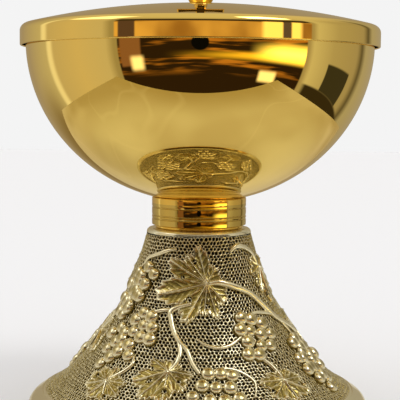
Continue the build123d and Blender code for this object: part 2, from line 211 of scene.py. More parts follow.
def spun_bowl():
    """The bowl: a quarter ellipse, a short upright lip and a bead rolled outwards, with the wall inside."""
    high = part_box("cup_bowl")[1]
    bead = 0.8 * MM
    bead_level = high.z - bead
    radius = 74.8 * MM
    widest = bead_level - 4.5 * MM
    depth = 69.4 * MM
    flat = 9.5 * MM
    steps = 90
    turn = np.linspace(math.asin(flat / radius), np.pi / 2, steps)
    outside = np.stack([radius * np.sin(turn), widest - depth * np.cos(turn)], -1)[::-1]
    inner = radius - SHEET_WALL
    turn = np.linspace(math.asin(flat / inner), np.pi / 2, steps)
    inside = np.stack([inner * np.sin(turn), widest - (depth - SHEET_WALL) * np.cos(turn)], -1)
    lip = arc_points((high.x - bead, bead_level), bead, 180, -115, 22)
    hub = 0.02 * MM
    return np.concatenate(
        [
            [[hub, inside[0, 1]]],
            inside,
            [[inner, bead_level - 0.2 * MM]],
            lip,
            outside,
            [[hub, outside[-1, 1]]],
        ]
    )


dress(turned("bowl", spun_bowl()), pale_gilt, "vessel", "polished_gold", "cup_bowl")


def spun_lid():
    """The lid: a shallow dome, a rounded corner and an upright skirt with a hem rolled inwards."""
    low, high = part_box("lid_shell")
    radius = high.x
    dome = 312.0 * MM
    wall = 0.8 * MM
    corner = 3.2 * MM
    hem = 0.9 * MM
    hem_height = 1.6 * MM
    stud_hole = 1.65 * MM
    middle = high.z + (dome - math.sqrt(dome**2 - stud_hole**2)) - dome
    corner_middle = (radius - corner, middle + math.sqrt((dome - corner) ** 2 - (radius - corner) ** 2))
    lean = math.degrees(math.asin((radius - corner) / (dome - corner)))
    first = math.degrees(math.asin(stud_hole / dome))
    steps = 60
    outer = arc_points((0, middle), dome, 90 - first, 90 - lean, steps)
    inner = arc_points((0, middle), dome - wall, 90 - lean, 90 - first, steps)
    soft = hem * 0.45
    guard = 0.12 * MM  # points this near each end of the skirt keep its shading straight
    return np.concatenate(
        [
            outer,
            arc_points(corner_middle, corner, 90 - lean, 0, 24)[1:],
            [[radius, corner_middle[1] - guard], [radius, low.z + soft + guard]],
            arc_points((radius - soft, low.z + soft), soft, 0, -90, 6),
            arc_points((radius - hem + soft, low.z + soft), soft, -90, -180, 6),
            [[radius - hem, low.z + hem_height], [radius - wall, low.z + hem_height + hem - wall]],
            arc_points(corner_middle, corner - wall, 0, 90 - lean, 14),
            inner[1:],
        ]
    )


dress(turned("lid", spun_lid()), pale_gilt, "lid", "polished_gold", "lid_shell")


# The collar and the finial: turned and cast from solid brass, with a deeper yellow gilding. The turned bands
# keep a trace of the tool, so they are a little rougher than the bowl.
YELLOW_GILT = (0.84, 0.57, 0.13, 1.0)
COLLAR_GILT = (0.62, 0.455, 0.125, 1.0)
yellow_gilt = buffed_metal("yellow_gilt", YELLOW_GILT, 0.05, 0.12, depth=0.00002)
collar_gilt = buffed_metal("collar_gilt", COLLAR_GILT, 0.03, 0.07, depth=0.00001)
finish_nodes(collar_gilt, "collar_sleeve")
finish_nodes(yellow_gilt, "collar_base_ring", "cup_seat_ring", "cup_boss", "finial_knop", "finial_cross")


# The tie rod, stud, nuts and washers: bought zinc-plated steel, dull beside the gilding and slightly mottled.
ZINC_STEEL = (0.56, 0.57, 0.60, 1.0)
zinc_steel = buffed_metal("zinc_steel", ZINC_STEEL, 0.26, 0.42, depth=0.00003)
finish_nodes(zinc_steel, "tie_rod", "bridge_washer", "spring_washer", "tie_nut")
finish_nodes(zinc_steel, "finial_stud", "lid_washer", "lid_nut")


# The foot's casting: brass poured in one piece with its vines, gilded pale silver-gold, and darkened with
# patina in every hollow. Its skin is a bell above a slope. Behind the small cells is a plain wall.
# Leaf blades, leaf edges and grape crowns get painted reflection and painted shadow through the same olive
# and black.
foot_low, foot_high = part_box("foot_casting")
BELL_HEIGHT = 65.0 * MM
BELL_TOP_RADIUS = 22.3 * MM
BELL_EDGE_RADIUS = 59.6 * MM
STRAIGHT_SHARE = 0.46
FLARE_POWER = 2.6
GROUND_LIFT = -0.1 * MM  # the cells' walls stand this far from the outline
CELL_DEPTH = 1.0 * MM
LIP_HEIGHT = 1.9 * MM  # plain rounded lip at the top
CAST_WALL = 2.2 * MM
TOP_PLATE = 2.4 * MM
TOP_SHOULDER = 1.8 * MM
ROD_HOLE = 4.25 * MM
CAST_GILT = (0.86, 0.82, 0.63, 1.0)
OLIVE_GILT = (0.36, 0.28, 0.075, 1.0)
PATINA = (0.012, 0.009, 0.004, 1.0)
OLIVE_RANGE = (0.10, 0.48)  # recess over which gilt turns olive
BLACK_RANGE = (0.50, 0.88)  # and olive turns black
MOTTLE = 0.14  # how far noise shifts both
CAST_METALLIC = 0.90  # the gilding on the casting is slightly chalky, so it never goes quite dark


def bell_radius(height):
    """Radius at a height. Just under half of the flare is straight, the rest grows as a power."""
    fall = (foot_high.z - height) / BELL_HEIGHT
    flare = STRAIGHT_SHARE * fall + (1 - STRAIGHT_SHARE) * np.maximum(fall, 0) ** FLARE_POWER
    return BELL_TOP_RADIUS + (BELL_EDGE_RADIUS - BELL_TOP_RADIUS) * flare


bell_bottom = foot_high.z - BELL_HEIGHT
bell_heights = np.linspace(foot_high.z, bell_bottom, 600)
slope_heights = np.linspace(bell_bottom, foot_low.z, 80)[1:]
slope_share = (bell_bottom - slope_heights) / (bell_bottom - foot_low.z)
slope_radii = BELL_EDGE_RADIUS + (foot_high.x - BELL_EDGE_RADIUS) * slope_share
bell_radii = np.append(bell_radius(bell_heights), slope_radii)
bell_heights = np.append(bell_heights, slope_heights)
bell_arcs = np.concatenate([[0], np.cumsum(np.hypot(np.diff(bell_heights), np.diff(bell_radii)))])


def skin_radius(height):
    """Radius of the casting's skin at a height, on the bell or on the slope below it."""
    return np.interp(-np.asarray(height), -bell_heights, bell_radii)


def arc_at(height):
    """Distance down the outline from its top edge to a height."""
    return np.interp(-height, -bell_heights, bell_arcs)


def on_bell(angle, arc, lift):
    """A point on the bell: angle round from the front, distance down the outline, and lift off the surface.

    The lift is along the outline's normal. Every argument may be an array.
    """
    height = np.interp(arc, bell_arcs, bell_heights)
    radius = np.interp(arc, bell_arcs, bell_radii)
    fall_r = np.gradient(bell_radii, bell_arcs)
    fall_z = np.gradient(bell_heights, bell_arcs)
    slope_r = np.interp(arc, bell_arcs, fall_r)
    slope_z = np.interp(arc, bell_arcs, fall_z)
    radius = radius - slope_z * lift
    height = height + slope_r * lift
    return np.stack([radius * np.sin(angle), -radius * np.cos(angle), height], -1)


def cast_group():
    """Cast gilding. A value per point, patina in hollows and painted shade elsewhere, turns it olive and then
    black, broken up by noise; its skin is grained.
    """
    group, start, end = new_group(
        "cast_patina_and_painted_shade",
        [
            ("Gilt", "NodeSocketColor", CAST_GILT),
            ("Olive", "NodeSocketColor", OLIVE_GILT),
            ("Patina", "NodeSocketColor", PATINA),
            ("Smooth", "NodeSocketFloat", 0.14),
            ("Dull", "NodeSocketFloat", 0.55),
        ],
        [("Color", "NodeSocketColor"), ("Roughness", "NodeSocketFloat"), ("Height", "NodeSocketFloat")],
    )
    link = group.links.new
    place = group.nodes.new("ShaderNodeTexCoord")
    patina_and_painted_shade = group.nodes.new("ShaderNodeAttribute")
    patina_and_painted_shade.attribute_name = "patina_and_painted_shade"
    mottle = add(group, "ShaderNodeTexNoise", Scale=420.0, Detail=3.0, Roughness=0.6)
    grain = add(group, "ShaderNodeTexNoise", Scale=2600.0, Detail=2.0)
    shifted = add(group, "ShaderNodeMapRange", From_Min=0.0, From_Max=1.0, To_Min=-MOTTLE, To_Max=MOTTLE)
    total = group.nodes.new("ShaderNodeMath")
    total.operation = "ADD"
    olive_share = add(group, "ShaderNodeMapRange", From_Min=OLIVE_RANGE[0], From_Max=OLIVE_RANGE[1])
    black = add(group, "ShaderNodeMapRange", From_Min=BLACK_RANGE[0], From_Max=BLACK_RANGE[1])
    olive, colour = group.nodes.new("ShaderNodeMix"), group.nodes.new("ShaderNodeMix")
    olive.data_type = colour.data_type = "RGBA"
    rough = group.nodes.new("ShaderNodeMapRange")
    link(place.outputs["Object"], mottle.inputs["Vector"])
    link(place.outputs["Object"], grain.inputs["Vector"])
    link(mottle.outputs["Fac"], shifted.inputs["Value"])
    link(patina_and_painted_shade.outputs["Fac"], total.inputs[0])
    link(shifted.outputs[0], total.inputs[1])
    link(total.outputs[0], olive_share.inputs["Value"])
    link(total.outputs[0], black.inputs["Value"])
    link(olive_share.outputs[0], olive.inputs["Factor"])
    link(start.outputs["Gilt"], olive.inputs["A"])
    link(start.outputs["Olive"], olive.inputs["B"])
    link(black.outputs[0], colour.inputs["Factor"])
    link(olive.outputs["Result"], colour.inputs["A"])
    link(start.outputs["Patina"], colour.inputs["B"])
    link(black.outputs[0], rough.inputs["Value"])
    link(start.outputs["Smooth"], rough.inputs["To Min"])
    link(start.outputs["Dull"], rough.inputs["To Max"])
    link(colour.outputs["Result"], end.inputs["Color"])
    link(rough.outputs[0], end.inputs["Roughness"])
    link(grain.outputs["Fac"], end.inputs["Height"])
    return group


CAST = cast_group()


def cast_metal(name, gilt, smooth, dull, grain):
    """A cast and gilded metal with patina in its hollows."""
    material = bpy.data.materials.new(name)
    material.use_nodes = True
    tree = material.node_tree
    shader = tree.nodes["Principled BSDF"]
    shader.inputs["Metallic"].default_value = CAST_METALLIC
    finish = tree.nodes.new("ShaderNodeGroup")
    finish.node_tree = CAST
    finish.inputs["Gilt"].default_value = gilt
    finish.inputs["Smooth"].default_value = smooth
    finish.inputs["Dull"].default_value = dull
    bump = add(tree, "ShaderNodeBump", Strength=1.0, Distance=grain)
    tree.links.new(finish.outputs["Color"], shader.inputs["Base Color"])
    tree.links.new(finish.outputs["Roughness"], shader.inputs["Roughness"])
    tree.links.new(finish.outputs["Height"], bump.inputs["Height"])
    tree.links.new(bump.outputs["Normal"], shader.inputs["Normal"])
    return material


cast_gilt = cast_metal("cast_gilt", CAST_GILT, 0.14, 0.6, 0.00002)


def casting_core():
    """The casting without its relief: a closed outline of lip, backing wall and inner wall, turned round."""
    lip_radius = float(bell_radius(foot_high.z - TOP_SHOULDER))
    lip_bottom = foot_high.z - LIP_HEIGHT
    lip = arc_points((lip_radius - TOP_SHOULDER, foot_high.z - TOP_SHOULDER), TOP_SHOULDER, 90, 0, 9)
    back_top = lip_bottom - 0.5 * MM
    border = 0.8 * MM
    heights = np.linspace(back_top, foot_low.z + border, 60)
    back = np.stack([skin_radius(heights) + (GROUND_LIFT - CELL_DEPTH) * 1.15, heights], -1)
    edge_level = foot_low.z + 0.6 * MM
    edge = np.array([[skin_radius(edge_level), edge_level], [foot_high.x, foot_low.z]])
    rise = np.linspace(foot_low.z, foot_high.z - TOP_PLATE, 50)
    inside = np.stack([skin_radius(rise) - CAST_WALL, rise], -1)
    outline = np.concatenate(
        [
            [[ROD_HOLE, foot_high.z]],
            lip,
            [[lip_radius + 0.05 * MM, lip_bottom]],
            back,
            edge,
            inside,
            [[ROD_HOLE, foot_high.z - TOP_PLATE]],
        ]
    )
    shade_and_patina = np.zeros(len(outline))
    shade_and_patina[len(lip) + 2 : len(lip) + 2 + len(back)] = 1.0
    return outline, shade_and_patina


core_outline, core_recess = casting_core()
core = turned("casting_core", core_outline, core_recess, segments=180)
dress(core, cast_gilt, "vessel", "cast_gilt", "foot_casting")


# The ground between the vines: a net of small open cells pressed into the wax by hand, so the cells are close
# to hexagons but never quite even, and their floors are black with patina.
CELL_PITCH = 1.62 * MM
CELL_UNEVEN = 0.28
CELL_MOUTH, MOUTH_MOST = 0.75, 0.84  # share of the way from a cell's middle to its corners
CELL_FLOOR, FLOOR_MOST = 0.71, 0.80
RIDGE_LOW, RIDGE_HIGH = -0.16, 0.08  # mm: the ridges are uneven
MOUTH_DROP = 0.18 * MM  # the mouth's edge lies this far below the ridge between two cells
MOUTH_STAIN = 0.52  # recess of the mouth's edge, between 0 on the ridge and 1 on the floor
GROUND_SPLIT = 36.0 * MM  # the net is kept as two meshes that meet at this height


def cell_rows(rng):
    """Middles of the cells, in rows round the bell, each row with as many as fit its girth."""
    first = arc_at(foot_high.z - LIP_HEIGHT) - 0.4 * MM
    last = bell_arcs[-1] - 0.3 * MM
    row_spacing = CELL_PITCH * 0.866  # rows of hexagons nest into each other
    count = int((last - first) / row_spacing)
    arcs = np.linspace(first, last, count)
    rows = []
    for number, arc in enumerate(arcs):
        girth = 2 * np.pi * np.interp(arc, bell_arcs, bell_radii)
        around = round(girth / CELL_PITCH)
        uneven = rng.uniform(-CELL_UNEVEN, CELL_UNEVEN, (around, 2))
        angle = (np.arange(around) + number % 2 * 0.5 + 0.25 + uneven[:, 0]) * 2 * np.pi / around
        rows.append((angle, arc + uneven[:, 1] * CELL_PITCH))
    return rows


def place_in(halfway, angle):
    """Which point of a row is nearest to an angle, from the angles halfway between its points."""
    angle = np.where(angle >= halfway[-1], angle - 2 * np.pi, angle)
    return np.searchsorted(halfway, angle) % len(halfway)


def halfway_angles(angle):
    """Angles halfway between neighbours of a row."""
    return (angle + np.append(angle[1:], angle[0] + 2 * np.pi)) / 2


def net_of_cells():
    """The net: rows of points are joined by triangles, and each triangle's middle is a corner of three cells.

    Each side of each cell gets a strip on top of its wall and a strip down its side.
    """
    rng = np.random.default_rng(4)
    rows = cell_rows(rng)
    angle = np.concatenate([a for a, s in rows])
    arc = np.concatenate([s for a, s in rows])
    start = np.cumsum([0] + [len(a) for a, s in rows])
    corners = []
    for n in range(len(rows) - 1):
        upper, lower = halfway_angles(rows[n][0]), halfway_angles(rows[n + 1][0])
        i, j = np.arange(len(upper)), np.arange(len(lower))
        below = place_in(lower, upper)
        above = place_in(upper, lower)
        corners.append(np.stack([start[n] + i, start[n + 1] + below, start[n] + (i + 1) % len(i)], -1))
        corners.append(np.stack([start[n] + above, start[n + 1] + j, start[n + 1] + (j + 1) % len(j)], -1))
    corners = np.concatenate(corners)
    turn = angle[corners]
    turn = turn[:, :1] + (turn - turn[:, :1] + np.pi) % (2 * np.pi) - np.pi
    ridge_angle, ridge_arc = turn.mean(1), arc[corners].mean(1)

    size = rng.uniform(0.90, 1.10, len(angle))
    mouth = np.minimum(CELL_MOUTH * size, MOUTH_MOST)[corners][..., None]
    floor = np.minimum(CELL_FLOOR * size, FLOOR_MOST)[corners][..., None]
    middle = np.stack([turn, arc[corners]], -1)
    ridge = np.stack([ridge_angle, ridge_arc], -1)[:, None, :]
    at_mouth = middle + (ridge - middle) * mouth
    at_floor = middle + (ridge - middle) * floor
    uneven = rng.uniform(RIDGE_LOW, RIDGE_HIGH, len(corners)) * MM
    points = np.concatenate(
        [
            on_bell(ridge_angle, ridge_arc, GROUND_LIFT + uneven),
            on_bell(at_mouth[..., 0].ravel(), at_mouth[..., 1].ravel(), GROUND_LIFT - MOUTH_DROP),
            on_bell(at_floor[..., 0].ravel(), at_floor[..., 1].ravel(), GROUND_LIFT - CELL_DEPTH),
        ]
    )
    triangles = len(corners)
    mouths = np.full(3 * triangles, MOUTH_STAIN)
    patina_and_painted_shade = np.concatenate([np.zeros(triangles), mouths, np.ones(3 * triangles)])

    number = np.arange(triangles)
    sides = [(number, k, corners[:, k], corners[:, (k + 1) % 3]) for k in range(3)]
    tri = np.concatenate([s[0] for s in sides])
    near = np.concatenate([np.full(triangles, s[1]) for s in sides])
    head = np.concatenate([s[2] for s in sides])
    tail = np.concatenate([s[3] for s in sides])
    forward = head.astype(np.int64) * len(angle) + tail
    backward = tail.astype(np.int64) * len(angle) + head
    order = np.argsort(forward)
    found = np.searchsorted(forward[order], backward)
    match = order[np.minimum(found, len(order) - 1)]
    inner = (head >= start[1]) & (head < start[-2]) & (forward[match] == backward)
    other = tri[match]
    other_corner = (near[match] + 1) % 3
    t1, t2 = tri[inner], other[inner]
    mouth1 = triangles + 3 * t1 + near[inner]
    mouth2 = triangles + 3 * t2 + other_corner[inner]
    floor1, floor2 = mouth1 + 3 * triangles, mouth2 + 3 * triangles
    top = np.stack([mouth2, t2, t1, mouth1], -1)
    wall = np.stack([floor2, mouth2, mouth1, floor1], -1)
    return points, np.concatenate([top, wall]), patina_and_painted_shade


points, faces, patina_and_painted_shade = net_of_cells()
high = points[faces[:, 1], 2] > GROUND_SPLIT
for part, chosen in (("upper", faces[high]), ("lower", faces[~high])):
    used, numbers = np.unique(chosen, return_inverse=True)
    net = put_mesh(f"cell_ground_{part}", points[used], [numbers.reshape(-1, 4)], patina_and_painted_shade[used])
    dress(net, cast_gilt, "vessel", "cast_gilt")


# The vine leaves: modelled in wax on the ground, with toothed and pointed lobes, a raised rib down each lobe,
# side veins, hollow blades between them and small openings. The ribs stand over a millimetre proud.
LEAF_RINGS = 30
LEAF_SPOKES = 380
LEAF_EDGE = 0.60 * MM  # lift of the blade off the ground
RIB_HEIGHT = 0.85 * MM
RIB_WIDTH = 0.34 * MM
VEIN_HEIGHT = 0.15 * MM
VEIN_SPACING = 2.9 * MM
OPENING_DEPTH = 2.0 * MM
BLADE_PAINTED_REFLECTION, HOLLOW_STAIN = 0.32, 0.30  # darkening of a whole blade, a painted reflection of the gilt bowl above it, and the patina its hollows add
CURL, SAG, WAVE = 0.32, 0.34, 0.25  # mm that the edge curls up, a blade sags and the whole leaf waves
LOBE_POWER = 0.62  # the larger, the narrower the lobes
TEETH_PER_HALF_LOBE = 2.6
TOOTH_DEPTH = 0.11
NOTCH_FILL = 1.08


def vine_leaf(name, angle, height, lobes, openings=()):
    """A leaf on a grid of rings and spokes round its stalk.

    Each lobe is (direction of its tip in degrees from level right, length to the tip, length to the notch
    after it), in mm and in order of direction. Away from a tip the outline falls to the notch as a power of
    the share of the way left. Each opening is (direction, distance, radius).
    """
    ring = np.linspace(0, 1, LEAF_RINGS)[:, None] ** 0.8
    spoke = np.linspace(0, 2 * np.pi, LEAF_SPOKES, endpoint=False)
    tip = np.radians([lobe[0] for lobe in lobes])
    length = np.array([lobe[1] for lobe in lobes]) * MM
    notch = np.array([lobe[2] for lobe in lobes]) * MM
    before = (np.searchsorted(tip, spoke, side="right") - 1) % len(tip)
    after = (before + 1) % len(tip)
    gap = (tip[after] - tip[before]) % (2 * np.pi)
    way = (spoke - tip[before]) % (2 * np.pi) / gap
    nearer = way < 0.5
    share = np.where(nearer, 2 * way, 2 - 2 * way)
    reach = np.where(nearer, length[before], length[after])
    lean = np.where(nearer, way, way - 1) * gap
    teeth = 1 - np.abs((share * TEETH_PER_HALF_LOBE + 0.9) % 1.0 - 0.5) * 2
    valley = notch[before] * NOTCH_FILL
    outline = valley + (reach - valley) * (1 - share) ** LOBE_POWER
    outline = outline * (1 + TOOTH_DEPTH * (teeth - 0.6))
    far = ring * outline
    x, y = far * np.cos(spoke), far * np.sin(spoke)
    along, off = far * np.cos(lean), np.abs(far * np.sin(lean))
    rib = np.exp(-((off / (RIB_WIDTH * (1.15 - 0.6 * ring))) ** 2)) * (1 - 0.45 * ring)
    vein = np.maximum(np.cos(2 * np.pi * (along - 1.1 * off) / VEIN_SPACING), 0) ** 4
    vein = vein * np.clip(off / (0.5 * MM), 0, 1) * np.clip((along - 2 * MM) / (2 * MM), 0, 1)
    curl = np.clip((ring - 0.84) / 0.16, 0, 1)
    hollow = np.sin(np.pi * np.clip(share, 0, 1)) * np.clip(far / (4 * MM), 0, 1) * (1 - curl)
    wave = np.sin(2 * spoke + angle) * ring**2
    bend = MM * (CURL * curl - SAG * hollow + WAVE * wave)
    lift = LEAF_EDGE + RIB_HEIGHT * rib + VEIN_HEIGHT * vein + bend
    hole = np.zeros_like(lift)
    for bearing, distance, radius in openings:
        middle = math.radians(bearing)
        gone = np.hypot(x - distance * MM * math.cos(middle), y - distance * MM * math.sin(middle))
        hole = np.maximum(hole, np.exp(-((gone / (radius * MM)) ** 6)))
    lift = lift - OPENING_DEPTH * hole
    # Painted reflection: each blade is tinted olive as if mirroring the gilt bowl above it, with patina added
    # in its hollows; ribs, veins and curled edges stay bright.
    patina_and_painted_shade = (BLADE_PAINTED_REFLECTION + HOLLOW_STAIN * hollow) * (1 - rib) * (1 - 0.5 * vein) * (1 - 0.8 * curl)
    patina_and_painted_shade = patina_and_painted_shade + 1.2 * hole
    # Painted shadow: the outermost ring dips to the cell floors and is painted near black, an undercut shadow
    # round the leaf's edge.
    lift[-1] = -CELL_DEPTH
    patina_and_painted_shade[-1] = 0.95
    arc = arc_at(height * MM) - y
    place = math.radians(angle) + x / np.interp(arc, bell_arcs, bell_radii)
    points = on_bell(place, arc, GROUND_LIFT + lift)
    points = np.concatenate([points[0, :1], points[1:].reshape(-1, 3)])
    fan = np.arange(LEAF_SPOKES)
    centre = np.stack([0 * fan, 1 + fan, 1 + (fan + 1) % LEAF_SPOKES], -1)
    rings = grid_faces(LEAF_RINGS - 1, LEAF_SPOKES, wrap_columns=True)[:, ::-1] + 1
    shade_and_patina = np.concatenate([[0.1], patina_and_painted_shade[1:].ravel()])
    leaf = put_mesh(name, points, [centre, rings], np.clip(shade_and_patina, 0, 1))
    dress(leaf, cast_gilt, "vessel", "cast_gilt")


LEAVES = {  # angle round from the front, height of the stalk in mm, lobes and openings
    "high": (
        7,
        64,
        [(61, 8.2, 7.5), (102, 17.6, 12.5), (124, 15.0, 12.5), (147, 19.5, 12), (195, 24.5, 13)]
        + [(240, 21, 12.5), (263, 14, 12), (284, 16.3, 9.5), (309, 12, 4.2)],
        [(117, 10.4, 0.8), (166, 10.3, 0.7), (222, 10.2, 1.1), (270, 9.7, 0.9)],
    ),
    "low": (
        -14,
        31,
        [(20, 6, 3.5), (120, 6, 5), (146, 10, 7), (203, 17, 12), (232, 17.5, 12), (270, 15, 9)]
        + [(315, 12, 8), (354, 11, 4.5)],
        [(174, 7.3, 0.9), (213, 8.8, 0.9), (270, 9, 1.0), (320, 6.8, 0.8)],
    ),
    "right": (
        41,
        26,
        [(0, 10.5, 7), (46, 7, 4.5), (105, 5, 4), (149, 8.5, 6.5), (174, 12.5, 8), (219, 11.5, 7.5)]
        + [(279, 10.5, 8), (328, 14.5, 9)],
        [(207, 8.2, 0.9), (340, 9, 0.8)],
    ),
    "left": (
        -43,
        25,
        [(2, 10, 6), (42, 6, 4.5), (79, 7.5, 5.5), (138, 8.5, 7), (172, 11.5, 8.5), (199, 12, 8)]
        + [(238, 11, 7.5), (291, 10, 7.5), (330, 11.5, 7)],
        [(169, 7.6, 0.8), (297, 7.6, 0.9)],
    ),
    "side": (
        69,
        69,
        [(30, 6, 4.5), (150, 6.5, 5), (200, 8.5, 6), (245, 13, 8), (275, 18, 9), (305, 12.5, 6.5)]
        + [(340, 8, 5)],
        [(222, 6.0, 0.7), (290, 8.0, 0.8)],
    ),
    "far_side": (
        98,
        40,
        [(10, 10, 6.5), (50, 9, 5), (100, 10, 6.5), (150, 12, 8), (195, 13, 8.5), (235, 14.5, 8.5)]
        + [(270, 12, 8), (310, 14, 8)],
        [(172, 7.5, 0.9), (252, 8, 0.9)],
    ),
}
SIDES = {"front": 0, "back": 180}
for side, turn in SIDES.items():
    for place, (angle, height, lobes, openings) in LEAVES.items():
        vine_leaf(f"vine_leaf_{place}_{side}", angle + turn, height, lobes, openings)


# The vine itself: half-round canes pressed into the ground, thick at a leaf and fine as a wire at the tip of
# a tendril.
CANE_STEPS_PER_SPAN = 12
CANE_ROUND = 12
CANE_RIDGES, CANE_RIDGE_HEIGHT, CANE_TWIST = 5, 0.10, 0.35  # height as a share of the half width


def smooth_route(stops, steps):
    """A Catmull-Rom curve through the stops, given as rows of numbers."""
    stops = np.asarray(stops, float)
    padded = np.concatenate([2 * stops[:1] - stops[1:2], stops, 2 * stops[-1:] - stops[-2:-1]])
    a, b, c, d = padded[:-3, None], padded[1:-2, None], padded[2:-1, None], padded[3:, None]
    t = np.linspace(0, 1, steps, endpoint=False)[None, :, None]
    curve = 0.5 * (2 * b + (c - a) * t + (2 * a - 5 * b + 4 * c - d) * t**2 + (3 * b - a - 3 * c + d) * t**3)
    return np.concatenate([curve.reshape(-1, stops.shape[1]), stops[-1:]])


def cane(stops, turn):
    """One cane as a tube on the bell, with shallow ridges that wind along it."""
    route = smooth_route(stops, CANE_STEPS_PER_SPAN)
    angle = np.radians(route[:, 0] + turn)
    arc = arc_at(route[:, 1] * MM)
    half = route[:, 2] * MM
    radius = np.interp(arc, bell_arcs, bell_radii)
    across = np.stack([np.gradient(angle) * radius, np.gradient(arc)], -1)
    across /= np.linalg.norm(across, axis=1, keepdims=True)
    round_it = np.linspace(0, 2 * np.pi, CANE_ROUND, endpoint=False)[None, :]
    twist = np.arange(len(angle))[:, None] * CANE_TWIST
    ridge = 1 + CANE_RIDGE_HEIGHT * np.cos(CANE_RIDGES * round_it + twist)
    shift = half[:, None] * np.cos(round_it) * ridge
    lift = GROUND_LIFT + half[:, None] * (0.35 + 0.95 * np.sin(round_it) * ridge)
    side_angle = angle[:, None] - across[:, 1:] * shift / radius[:, None]
    side_arc = arc[:, None] + across[:, :1] * shift
    points = on_bell(side_angle, side_arc, lift)
    ends = points[[0, -1]].mean(1)
    steps = len(angle)
    body = grid_faces(steps, CANE_ROUND, wrap_columns=True)
    ring = np.arange(CANE_ROUND)
    onward = (ring + 1) % CANE_ROUND
    tips = 0 * ring + steps * CANE_ROUND
    first = np.stack([tips, onward, ring], -1)
    last_ring = (steps - 1) * CANE_ROUND
    last = np.stack([tips + 1, last_ring + ring, last_ring + onward], -1)
    patina_and_painted_shade = 0.55 * (1 - np.clip(0.5 + 0.9 * np.sin(round_it), 0, 1)) + 0 * lift
    points = np.concatenate([points.reshape(-1, 3), ends])
    return points, [body, first, last], np.append(patina_and_painted_shade.ravel(), [0.2, 0.2])


CANES = [  # each stop is (angle, height in mm, half width in mm)
    [(9, 64, 1.0), (18, 64.2, 1.5), (30, 62.2, 1.5), (43, 59.2, 1.3), (52, 54.5, 1.35), (60, 49.5, 1.3)]
    + [(69, 45.8, 1.2), (79, 42.5, 1.2), (88, 39, 1.1), (97, 40, 0.9)],
    [(-5, 56, 0.8), (-14, 54.6, 1.1), (-19, 52.6, 1.25), (-18, 49.5, 1.2), (-14.5, 45, 1.15)]
    + [(-10.5, 41.5, 1.1), (-6, 38.6, 1.0), (-2.5, 34, 0.95), (1, 30.5, 0.8)],
    [(-12, 43, 0.8), (-9.5, 38.6, 1.0), (-10, 35, 0.95), (-12, 32.5, 0.85), (-14, 31, 0.7)],
    [(-1, 43.0, 0.45), (4, 40.8, 0.65), (11, 39.5, 0.75), (18, 40.2, 0.75), (25, 42.5, 0.7), (30, 45.5, 0.6)],
    [(-22, 77.5, 0.5), (-32, 76.6, 0.9), (-42, 74.8, 1.0), (-54, 73.0, 0.85), (-60, 70.0, 0.6)],
    [(32, 76.2, 0.6), (40, 78.4, 1.1), (52, 77.6, 1.1), (64, 74.5, 0.9), (69, 69.5, 0.7)],
    [(-19, 53.2, 0.8), (-26, 52.9, 0.9), (-33, 51.6, 0.8), (-38, 50.0, 0.6)],
    [(60, 49.5, 0.9), (52, 50.8, 0.85), (44, 51.3, 0.8), (35, 51.0, 0.6)],
    [(27, 36.5, 0.45), (32, 35.5, 0.7), (37, 33.0, 0.9), (40, 29.5, 0.9), (41, 26.5, 0.8)],
    [(-43, 26, 0.8), (-38, 28.5, 0.9), (-34, 32.0, 0.8), (-35, 35.0, 0.5)],
    [(97, 40, 0.9), (104, 47, 1.0), (108, 55, 0.9), (114, 62, 0.9), (118, 68, 0.7)],
    [(2, 30.5, 0.6), (12, 32.2, 0.7), (20, 31.0, 0.6), (26, 27.0, 0.55), (24, 22.0, 0.4)],
    [(69, 45.8, 0.8), (73, 41.0, 0.75), (74, 37.0, 0.6)],
    [(-60, 70, 0.6), (-68, 66, 0.6), (-66, 62.0, 0.55), (-59, 63.0, 0.4)],
]


def all_canes(turn):
    """Every cane of one side joined in one mesh."""
    points, faces, patina_and_painted_shade, base = [], [], [], 0
    for stops in CANES:
        p, f, d = cane(stops, turn)
        points.append(p)
        patina_and_painted_shade.append(d)
        faces += [part + base for part in f]
        base += len(p)
    return np.concatenate(points), faces, np.concatenate(patina_and_painted_shade)


for side, turn in SIDES.items():
    points, faces, patina_and_painted_shade = all_canes(turn)
    dress(put_mesh(f"vine_canes_{side}", points, faces, patina_and_painted_shade), cast_gilt, "vessel", "cast_gilt")


